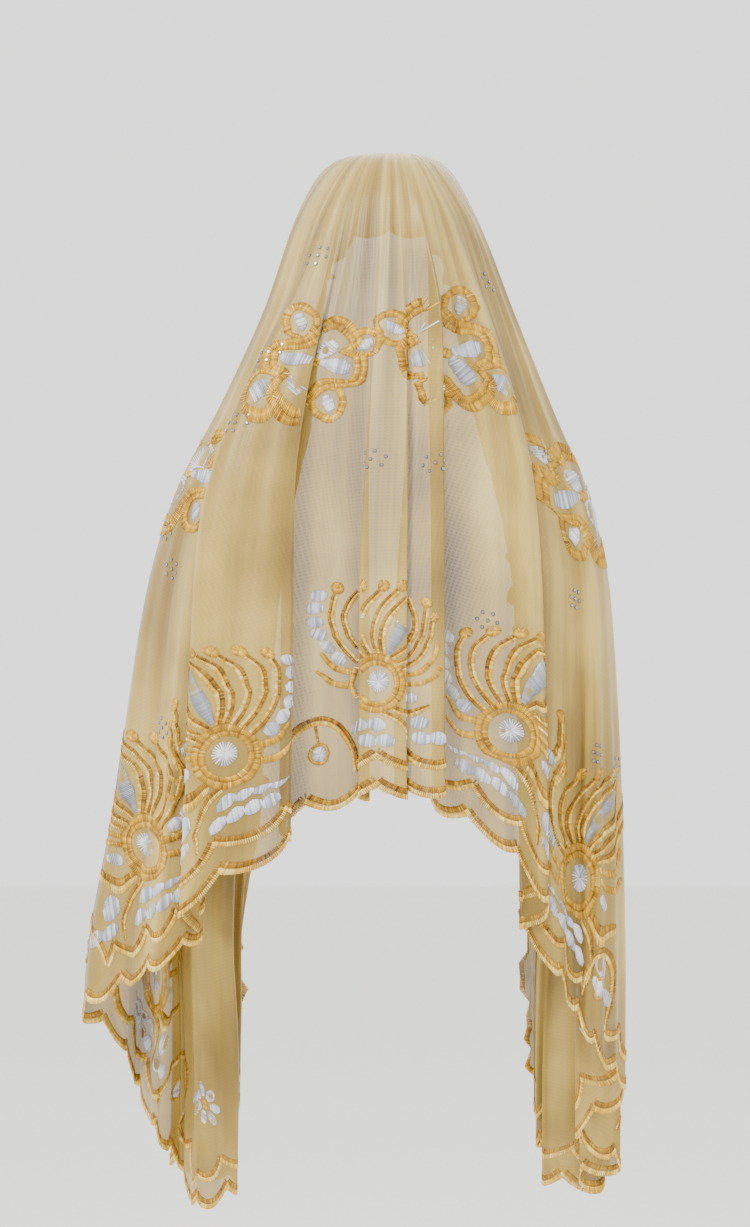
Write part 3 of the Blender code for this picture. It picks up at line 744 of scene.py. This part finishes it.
def spot_at(u, v, mirrored=False):
    """A function that moves a motif drawn about its own middle to its place on the flat cloth, in mm.

    The motif keeps its width as it is seen from behind, so it isn't lost in the pleats, and it stands
    upright where the hem slants. Below its ring it follows the hem instead.
    """
    offsets = np.arange(-SPOT_REACH, SPOT_REACH + SPOT_STEP, SPOT_STEP)
    grid = np.stack(np.meshgrid(u + offsets, v + DROPS), axis=-1)
    hung = on_cloth(np.reshape(grid, (-1, 2)) * MM)[0].reshape(*grid.shape[:2], 3) / MM
    middle = len(offsets) // 2
    target = hung[np.searchsorted(DROPS, 0), middle, 0]
    table, slant = [], []
    for row, height in zip(hung[..., 0], hung[..., 2]):
        near = slice(middle - NEAR_COLUMNS, middle + NEAR_COLUMNS + 1)
        start = near.start + int(np.argmin(np.abs(row[near] - target)))
        right, left = seen_offsets(row, start, 1), seen_offsets(row, start, -1)
        width = np.concatenate([-left[:0:-1], right])
        flat_offset = offsets[start] + (np.arange(len(width)) - len(left) + 1) * SPOT_STEP
        table.append(np.interp(offsets, width, flat_offset))
        slant.append(np.clip(np.interp(table[-1], offsets, height) - height[start], -MOST_SLANT, MOST_SLANT))
    table, slant = np.array(table), np.array(slant)

    def move(flat):
        x = np.clip(flat[:, 0] * (-1 if mirrored else 1), -SPOT_REACH + 1, SPOT_REACH - 1)
        column = (x + SPOT_REACH) / SPOT_STEP
        line = np.clip((flat[:, 1] - DROPS[0]) / DROP_STEP, 0, len(DROPS) - 1.01)
        i, j = line.astype(int), column.astype(int)
        level = ease((flat[:, 1] - UPRIGHT_FROM) / UPRIGHT_WITHIN)
        across, raised = (blend(grid, i, j, line - i, column - j) for grid in (table, slant))
        return np.stack([u + across, v + flat[:, 1] - raised * level], axis=1)
    return move


def plain_spot(u, v):
    return lambda flat: flat + (u, v)


def circle(radius, x=0.0, y=0.0, points=12):
    turns = np.arange(points) / points * 2 * math.pi
    return np.stack([x + radius * np.cos(turns), y + radius * np.sin(turns)], axis=1)


# %% [markdown]
# ## The scalloped border
# The outer band follows the cut edge. A second band runs 30 mm above it, in the same scallops, with a
# clear strip of cloth between them. On the back hem it stops at the feet of each arch. The front edge
# has the outer band alone.

# %% Border bands along the edge
EDGE_BAND = 10.0
INNER_BAND = 8.5
INNER_GAP = 30.0
FRONT_BAND = 6.0
EDGE_STEP = 1.5
BORDER_PITCH = 1.5
ARCH_PLACES = (-790, -520, -99, 508, 770)
ARCH_HALF = 37

border_gold = Stitching("border_gold_satin", pitch=BORDER_PITCH)


def edge_line(start, end, inside):
    """Flat points in mm along the edge, between two distances along it in mm and a way inside the cut."""
    at = np.arange(start, end, EDGE_STEP) * MM
    run = np.abs(at)
    on_end = (run > HALF_LENGTH) & (run < FRONT_CORNER)
    upright = np.where(run >= FRONT_CORNER, 1.0, -1.0 * (run <= HALF_LENGTH))
    outward = np.stack([np.sign(at) * on_end, upright], axis=1)
    cut = np.stack(flat_edge_point(at), axis=1) + outward * edge_reach(at)[:, None]
    return cut / MM - outward * inside


CORNERS = [
    way / MM for way in (-HALF_EDGE, -FRONT_CORNER, -HALF_LENGTH, HALF_LENGTH, FRONT_CORNER, HALF_EDGE)
]
feet = [CORNERS[2] + INNER_GAP, *(place + way for place in ARCH_PLACES for way in (-ARCH_HALF, ARCH_HALF)),
        CORNERS[3] - INNER_GAP]
# The stretches of each band, how far inside the cut edge it runs, its width and its rows of stitches.
Band = namedtuple("Band", "stretches inside width rows")
BANDS = (
    Band(zip(CORNERS[1:], CORNERS[2:-1]), EDGE_BAND / 2, EDGE_BAND, 2),
    Band((CORNERS[:2], CORNERS[-2:]), FRONT_BAND / 2, FRONT_BAND, 1),
    Band((CORNERS[1:3], CORNERS[3:5], *zip(feet[::2], feet[1::2])), INNER_GAP, INNER_BAND, 2),
)
for band in BANDS:
    for start, end in band.stretches:
        border_gold.line(edge_line(start, end, band.inside), band.width, curved=False, rows=band.rows)
print("border stitches:", border_gold.count())

# %% [markdown]
# ## Fans, arches and their white ovals
# Each fan is a double gold ring with a white disc in it, curved feathers with round tips, and one leaf
# with a silver-white core. White ovals run up its inner side and in two rows below it. The fans are
# mirrored about the centre back, and arches with a hanging disc stand between them.

# %% The fan's lines, in mm about its ring's middle; x points away from the centre back
Line = namedtuple("Line", "points widths rows")
FEATHERS = (
    Line(((-18, 18), (-30, 30), (-38, 46), (-40, 62), (-36, 78)), (5, 5.8, 6), 2),
    Line(((-11, 22), (-21, 35), (-28, 51), (-27, 65), (-17, 80)), (5, 5.8, 6), 2),
    Line(((-5, 25), (-12, 37), (-15, 51), (-10, 66), (3, 80)), (5, 5.8, 6), 2),
    Line(((1, 26), (-3, 40), (-1, 54), (6, 68), (19, 81)), (5, 5.6, 6), 2),
    Line(((6, 25), (5, 42), (11, 58), (28, 76)), (6, 7.5, 4), 2),
    Line(((13, 22), (29, 33), (37, 50), (30, 75)), (5, 7, 4), 2),
    Line(((18, 17), (32, 24), (43, 41), (46, 66)), (4.6, 5.4, 5.4), 2),
    Line(((22, 12), (38, 20), (49, 36), (52, 54)), (4.4, 5, 4.6), 2),
    Line(((25, 6), (41, 10), (52, 20), (57, 34)), (4.6, 4.6, 3.6), 1),
    Line(((26, -1), (42, 0), (54, 6), (60, 15)), (4.4, 4.4, 3), 1),
    Line(((-24, 9), (-38, 13), (-51, 26)), (6, 5.5, 3), 1),
    Line(((-26, -3), (-40, 0), (-54, 10)), (6, 5.5, 3), 1),
    Line(((14, -22), (31, -27), (50, -20)), (6, 7, 4), 2),
    Line(((4, -25), (19, -32), (28, -44), (27, -60)), (5, 5.5, 2), 2),
)
Knob = namedtuple("Knob", "x y radius")
KNOBS = (
    Knob(-35, 83, 6.2), Knob(-14, 85, 6.2), Knob(6, 85, 5.8), Knob(23, 85, 5.6), Knob(46, 70, 5),
    Knob(53, 58, 4.2),
)
# Middle of each white oval, its length and breadth, and its turn in degrees.
Oval = namedtuple("Oval", "x y length breadth turn")
CHAIN = ((-51, 76, 0), (-54, 65, 5), (-54, 53, 0), (-51, 42, -20), (-45, 31, -35), (-35, 21, -30))
OVALS = (
    *(Oval(x, y, 13.5, 11, turn) for x, y, turn in CHAIN),
    *(Oval(x, -36, 16, 12, -8) for x in (-48, -32, -16, 0, 40)),
    *(Oval(x, -50, 16, 12, -8) for x in (-40, -24, -8, 8, 42, 57)),
    Oval(32, -13, 12, 10, 0),
)
# The centre fan has no ovals left of this, because the arch beside it stands there.
CENTRE_OVALS_FROM = -20
RING_ROWS = ((23.4, 5.4), (18.2, 4.8))
DISC_RADIUS = 10.0
DISC_SHIFT = (1.5, 2.0)
FAN_PLACES = (-655, -385, -200, 0, 193, 410, 640)
FAN_DROP = 551
LEAF_CORE = Line(((10, 26), (17, 38), (24, 52), (28, 68)), (4, 12, 12, 3), 1)
ARCH = Line(
    ((-ARCH_HALF, -72), (-34, -50), (-20, -29), (0, -21), (20, -29), (34, -50), (ARCH_HALF, -72)), 8, 2
)
ARCH_STEM = Line(((0, -24), (0, -40)), 2.2, 1)
ARCH_RING, ARCH_RING_WIDTH, ARCH_DISC = 8.5, 3, 7.2
ARCH_MIDDLE = (0, -50)
BLUNT_ENDS = 0.18

# %% Stitch the fans and the arches
fan_gold = Stitching("fan_gold_satin")
white_thread = Stitching("white_satin")
silver_thread = Stitching("silver_satin")


def oval(stitching, shape, spot):
    """A satin-stitched oval: stitches across its long way, as wide as the oval is there."""
    way = np.array([math.cos(math.radians(shape.turn)), math.sin(math.radians(shape.turn))])
    middle = np.array([shape.x, shape.y])
    part = np.linspace(-1, 1, 9)
    widths = shape.breadth * np.sqrt(np.maximum(1 - part**2, BLUNT_ENDS))
    stitching.line([middle + way * shape.length / 2 * p for p in (-1, 0, 1)], widths, spot=spot)


def disc(stitching, radius, spot, x=0.0, y=0.0, points=8):
    """A satin-stitched disc: one ring of stitches as wide as its radius."""
    stitching.line(circle(radius / 2, x, y, points), radius, closed=True, spot=spot)


for u in FAN_PLACES:
    spot = spot_at(u, -FAN_DROP, mirrored=u < 0)
    for radius, width in RING_ROWS:
        fan_gold.line(circle(radius), width, closed=True, spot=spot)
    for feather in FEATHERS:
        fan_gold.line(feather.points, feather.widths, spot=spot, rows=feather.rows)
    for knob in KNOBS:
        disc(fan_gold, knob.radius, spot, knob.x, knob.y)
    for shape in OVALS:
        if u or shape.x > CENTRE_OVALS_FROM or shape.y > 0:
            oval(white_thread, shape, spot)
    disc(white_thread, DISC_RADIUS, spot, *DISC_SHIFT, points=12)
    silver_thread.line(LEAF_CORE.points, LEAF_CORE.widths, spot=spot)
for u in ARCH_PLACES:
    spot = plain_spot(u, -FAN_DROP)
    for line in (ARCH, ARCH_STEM):
        fan_gold.line(line.points, line.widths, spot=spot, rows=line.rows)
    fan_gold.line(circle(ARCH_RING, *ARCH_MIDDLE), ARCH_RING_WIDTH, closed=True, spot=spot)
    disc(white_thread, ARCH_DISC, spot, *ARCH_MIDDLE)
print("fan stitches:", fan_gold.count())

# %% [markdown]
# ## Flowers
# The flowers have four white petals round a gold knot, inside a double gold outline with a small loop
# at each of its hollows. A smaller flower of white ovals sits near each back corner.

# %% Stitch the flowers
Lobe = namedtuple("Lobe", "way reach")
Cusp = namedtuple("Cusp", "way reach loop")
LOBES = (Lobe(-14, 44), Lobe(48, 50), Lobe(165, 43), Lobe(230, 46))
CUSPS = (Cusp(24, 34, 8), Cusp(106, 29, 1), Cusp(203, 32, 5), Cusp(286, 27, -2))
LOOP = ((-4, 31), (-12, 38), (-12, 50), (0, 60), (12, 50), (12, 38), (4, 31))
FLOWER_PLACES = ((-228, -278), (-56, -256), (63, -252), (247, -277))
CORNER_FLOWERS = ((-862, -570), (806, -572))
LOBE_TURN = 17
SECOND_LINE = 6.6
KNOT_RADIUS = 4.8
OUTLINE_WIDTH, SECOND_WIDTH = 7.0, 6.0
LOOP_WIDTHS = (4, 7, 7, 7, 4)
# White thread that runs outwards from the middle: how far out its points are, and its widths.
Fill = namedtuple("Fill", "reaches widths")
LOOP_FILL = Fill((36, 44, 52), (3, 11, 8))
PETAL = Fill((4, 18, 31), (5, 10, 15, 15, 9))
CORNER_PETALS, CORNER_REACH, CORNER_TURN = 7, 13.5, 12
CORNER_LENGTH, CORNER_BREADTH = 13, 9.5

# The flowers lie across deep pleats, so more of the stitches that are folded there are left out.
flower_gold = Stitching("flower_gold_satin", least_open=MOTIF_OPEN)
white_thread.least_open = MOTIF_OPEN


def polar(radius, way):
    return radius * np.array([math.cos(math.radians(way)), math.sin(math.radians(way))])


def flower_outline(inset):
    """Points round the flower: two for each lobe and one for each hollow, in order of their way."""
    stations = [(lobe.way + turn, lobe.reach - inset) for lobe in LOBES for turn in (-LOBE_TURN, LOBE_TURN)]
    stations += [(cusp.way, cusp.reach - inset) for cusp in CUSPS]
    return [polar(reach, way) for way, reach in sorted(stations)]


for u, v in FLOWER_PLACES:
    spot = spot_at(u, v, mirrored=u > 0)
    flower_gold.line(flower_outline(0), OUTLINE_WIDTH, closed=True, spot=spot)
    flower_gold.line(flower_outline(SECOND_LINE), SECOND_WIDTH, closed=True, spot=spot)
    for cusp in CUSPS:
        out, side = polar(1, cusp.way), polar(1, cusp.way - 90)
        loop = [side * x + out * (y + cusp.loop) for x, y in LOOP]
        flower_gold.line(loop, LOOP_WIDTHS, spot=spot)
        white_thread.line([out * (y + cusp.loop) for y in LOOP_FILL.reaches], LOOP_FILL.widths, spot=spot)
    for lobe in LOBES:
        white_thread.line([polar(reach, lobe.way) for reach in PETAL.reaches], PETAL.widths, spot=spot)
    disc(flower_gold, KNOT_RADIUS, spot)
white_thread.least_open = flower_gold.least_open = LEAST_OPEN
for u, v in CORNER_FLOWERS:
    spot = plain_spot(u, v)
    for k in range(CORNER_PETALS):
        turn = k * 360 / CORNER_PETALS + CORNER_TURN
        petal = Oval(*polar(CORNER_REACH, turn), CORNER_LENGTH, CORNER_BREADTH, turn)
        oval(white_thread, petal, spot)
    disc(flower_gold, KNOT_RADIUS, spot)
print("flower stitches:", flower_gold.count(), "white stitches:", white_thread.count())

# %% [markdown]
# ## One Geometry Nodes tree for all that is laid on the cloth
# Each stitch starts as a point that knows its length, its way and its outward way. The tree sets a short
# thread with blunt ends on each point, turned and stretched to fit. The thread has five sides, because
# it is repeated thousands of times. For the stones, the same tree sets a cone with its tip cut off.

# %% Geometry Nodes: threads and stones laid on points
def laid_shapes_tree():
    tree = bpy.data.node_groups.new("laid_shapes", "GeometryNodeTree")
    tree.interface.new_socket("Geometry", in_out="INPUT", socket_type="NodeSocketGeometry")
    for name, kind, value in (("Sides", "Int", 5), ("Tip", "Float", 1.0), ("Material", "Material", None)):
        socket = tree.interface.new_socket(name, in_out="INPUT", socket_type="NodeSocket" + kind)
        if value is not None:
            socket.default_value = value
    tree.interface.new_socket("Geometry", in_out="OUTPUT", socket_type="NodeSocketGeometry")
    start = add_node(tree, "NodeGroupInput")
    axis, facing, size = (
        add_node(tree, "GeometryNodeInputNamedAttribute", {"data_type": "FLOAT_VECTOR"}, Name=name)
        for name in ("axis", "facing", "size")
    )
    turn = add_node(tree, "FunctionNodeAxesToRotation", {"primary_axis": "Z", "secondary_axis": "X"},
                    i0=axis.outputs["Attribute"], i1=facing.outputs["Attribute"])
    shape = add_node(tree, "GeometryNodeMeshCone", Vertices=start.outputs["Sides"], Depth=2.0)
    tree.links.new(start.outputs["Tip"], shape.inputs["Radius Top"])
    shape.inputs["Radius Bottom"].default_value = 1.0
    centred = add_node(tree, "GeometryNodeTransform", Geometry=shape.outputs["Mesh"],
                       Translation=(0, 0, -1.0))
    smooth = add_node(tree, "GeometryNodeSetShadeSmooth", Geometry=centred.outputs["Geometry"],
                      Selection=shape.outputs["Side"])
    laid = add_node(tree, "GeometryNodeInstanceOnPoints", Points=start.outputs["Geometry"],
                    Instance=smooth.outputs["Geometry"], Rotation=turn.outputs["Rotation"],
                    Scale=size.outputs["Attribute"])
    real = add_node(tree, "GeometryNodeRealizeInstances", Geometry=laid.outputs["Instances"])
    painted = add_node(tree, "GeometryNodeSetMaterial", Geometry=real.outputs["Geometry"],
                       Material=start.outputs["Material"])
    add_node(tree, "NodeGroupOutput", Geometry=painted.outputs["Geometry"])
    return tree


laid_shapes = laid_shapes_tree()


def lay_shapes(name, points, axis, facing, size, material, shade=None, **inputs):
    """Run the tree over points, and keep the result as a plain mesh piece."""
    mesh = bpy.data.meshes.new(name)
    mesh.from_pydata([tuple(point) for point in points], [], [])
    for key, values in (("axis", axis), ("facing", facing), ("size", size)):
        layer = mesh.attributes.new(key, "FLOAT_VECTOR", "POINT")
        layer.data.foreach_set("vector", values.astype(np.float32).ravel())
    if shade is not None:
        mesh.attributes.new("shade", "FLOAT", "POINT").data.foreach_set("value", shade.astype(np.float32))
    piece = new_object(name, mesh)
    modifier = piece.modifiers.new("laid_shapes", "NODES")
    modifier.node_group = laid_shapes
    values = {"Material": material, **inputs}
    for item in laid_shapes.interface.items_tree:
        if item.in_out == "INPUT" and item.name in values:
            modifier[item.identifier] = values[item.name]
    finished = bpy.data.meshes.new_from_object(piece.evaluated_get(bpy.context.evaluated_depsgraph_get()))
    piece.modifiers.remove(modifier)
    piece.data = finished
    finished.name = name
    print(name, "faces:", len(finished.polygons))
    return piece


# %% [markdown]
# ## Threads of gold, white and silver
# Embroidery thread is a glossy rayon, and the gold one has a fine metal strip wound round it. Each
# stitch catches the light a little differently, so its lightness comes from a value that it was given
# when it was laid.

# %% Thread materials and the stitched pieces
DRIFT_SHARE = 0.5
SHADE_RANGE = {"From Min": 0.3, "From Max": 1.2}


def satin_thread(name, stops, **principled):
    material, tree, shader = new_material(name, **principled)
    shade = add_node(tree, "ShaderNodeAttribute", {"attribute_name": "shade"})
    place = add_node(tree, "ShaderNodeTexCoord")
    drift = add_node(tree, "ShaderNodeTexNoise", Vector=place.outputs["Object"], Scale=42.0, Detail=2.0)
    mixed = add_node(tree, "ShaderNodeMath", {"operation": "MULTIPLY_ADD"},
                     i0=drift.outputs["Fac"], i1=DRIFT_SHARE, i2=shade.outputs["Fac"])
    level = add_node(tree, "ShaderNodeMapRange", Value=mixed.outputs[0], **SHADE_RANGE)
    colour = add_node(tree, "ShaderNodeValToRGB", stops=stops, Fac=level.outputs[0])
    tree.links.new(colour.outputs["Color"], shader.inputs["Base Color"])
    return material


# Each ramp runs from a painted shade, through the thread's own colour, to a painted highlight; each stitch's
# value and a random drift pick its place along it.
gold_rayon = satin_thread(
    "gold_rayon_thread_satin_stitched", ((0.0, "5A3A04"), (0.3, "A27212"), (0.62, "DEAD2A"), (1.0, "FFF2A0")),
    Roughness=0.3, Metallic=0.35,
)
white_rayon = satin_thread(
    "white_rayon_thread_satin_stitched", ((0.0, "6E727D"), (0.4, "9DA1AD"), (0.6, "DDDFE6"), (1.0, "FBFBFD")),
    Roughness=0.38, Sheen_Weight=0.3,
)
silver_rayon = satin_thread(
    "silver_rayon_thread_satin_stitched", ((0.0, "6E7178"), (0.5, "9C9FA6"), (1.0, "CACCD0")),
    Roughness=0.32, Metallic=0.3,
)
THREAD_HALF = 0.78 * MM
THREAD_SINK = 0.35 * MM
THREAD_HEIGHT = 0.7 * MM


def lay_stitches(stitching, material):
    """Turn the flat stitches of one colour into a piece on the hanging cloth, without those across a fold."""
    lefts, rights = np.concatenate(stitching.lefts), np.concatenate(stitching.rights)
    left, outward = on_cloth(lefts)
    right, _ = on_cloth(rights)
    axis = right - left
    half = np.linalg.norm(axis, axis=1) / 2
    flat = half * 2 > np.concatenate(stitching.opens) * np.linalg.norm(rights - lefts, axis=1)
    size = np.stack([np.full(len(half), THREAD_HEIGHT), np.full(len(half), THREAD_HALF), half], axis=1)
    middle = (left + right) / 2 + outward * THREAD_SINK
    return lay_shapes(stitching.name, middle[flat], axis[flat], outward[flat], size[flat], material,
                      shade=np.concatenate(stitching.shades)[flat])


border_piece = lay_stitches(border_gold, gold_rayon)
fan_piece = lay_stitches(fan_gold, gold_rayon)
flower_piece = lay_stitches(flower_gold, gold_rayon)
white_piece = lay_stitches(white_thread, white_rayon)
silver_piece = lay_stitches(silver_thread, silver_rayon)

# %% [markdown]
# ## Rhinestones
# Small round stones are glued on in clusters of seven. Each cluster is placed by where it hangs in the
# picture, seen from behind: the script looks for the outermost cloth there and lays a stone in the
# middle and six round it.

# %% Find where the clusters hang and lay the stones
Cluster = namedtuple("Cluster", "x depth")
CLUSTERS = (
    Cluster(-73, 104), Cluster(98, 129), Cluster(-114, 193), Cluster(-143, 256), Cluster(-25, 291),
    Cluster(34, 293), Cluster(148, 279), Cluster(-214, 356), Cluster(-206, 392), Cluster(82, 440),
    Cluster(178, 420), Cluster(-215, 534), Cluster(191, 554), Cluster(216, 575),
)
STONE_RADIUS = 2.0 * MM
STONE_HEIGHT = 1.6 * MM
STONE_SPREAD = 7.5 * MM
STONE_TURN = 15
STONE_LIFT = 0.6 * MM
SEARCH_STEP = 5
SEARCH_REACH = 8 * MM

# Flat points to search through. The 0.1 mm keeps them off the crown itself, which has no way outwards.
grid_u, grid_v = np.meshgrid(
    np.arange(-925, 926, SEARCH_STEP), np.arange(-625, 106, SEARCH_STEP), indexing="ij"
)
grid_flat = (np.stack([grid_u.ravel(), grid_v.ravel()], axis=1) + 0.1) * MM
grid_places, grid_ways = on_cloth(grid_flat)


def flat_spot_behind(x, depth):
    """Flat place of the outermost cloth that hangs at x and depth, in mm, seen from behind."""
    apart = np.hypot(grid_places[:, 0] - x * MM, grid_places[:, 2] + depth * MM)
    near = np.where((apart < SEARCH_REACH) & (grid_ways[:, 1] < 0))[0]
    if not len(near):
        near = np.array([np.argmin(apart)])
    return grid_flat[near[np.argmin(grid_places[near, 1])]]


stones = []
for cluster in CLUSTERS:
    middle = flat_spot_behind(cluster.x, cluster.depth)
    stones.append(middle)
    stones += [middle + polar(STONE_SPREAD, 60 * k + STONE_TURN) for k in range(6)]
stones = np.array(stones)
stone_places, stone_ways = on_cloth(stones, lift=STONE_LIFT)
stone_size = np.tile((STONE_RADIUS, STONE_RADIUS, STONE_HEIGHT / 2), (len(stones), 1))

# Cut glass with a silvered back: bright, sharp and a little dark between its facets.
crystal, _, _ = new_material(
    "silver_backed_cut_glass", Base_Color=linear("8C9199"), Metallic=0.9, Roughness=0.14
)
sideways = np.cross(stone_ways, (0.0, 0.0, 1.0))
stone_piece = lay_shapes(
    "rhinestones", stone_places, stone_ways, sideways, stone_size, crystal, Sides=8, Tip=0.55
)
print("stones:", len(stones))

# %% [markdown]
# ## Join the pieces to the frame
# Every piece moves with the veil's one body. The fine pieces stand in for the CAD solids that they
# replace.

# %% Ride and replace
pieces = (organza_sheet, border_piece, fan_piece, flower_piece, white_piece, silver_piece, stone_piece)
for piece in pieces:
    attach(piece, "root")
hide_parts("veil_cloth")
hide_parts(*[f"fan_motif_{k}" for k in range(1, 8)])
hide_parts(*[f"flower_outline_{k}" for k in range(1, 5)])
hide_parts(*[f"flower_petals_{k}" for k in range(1, 5)])
list(pieces[1:])
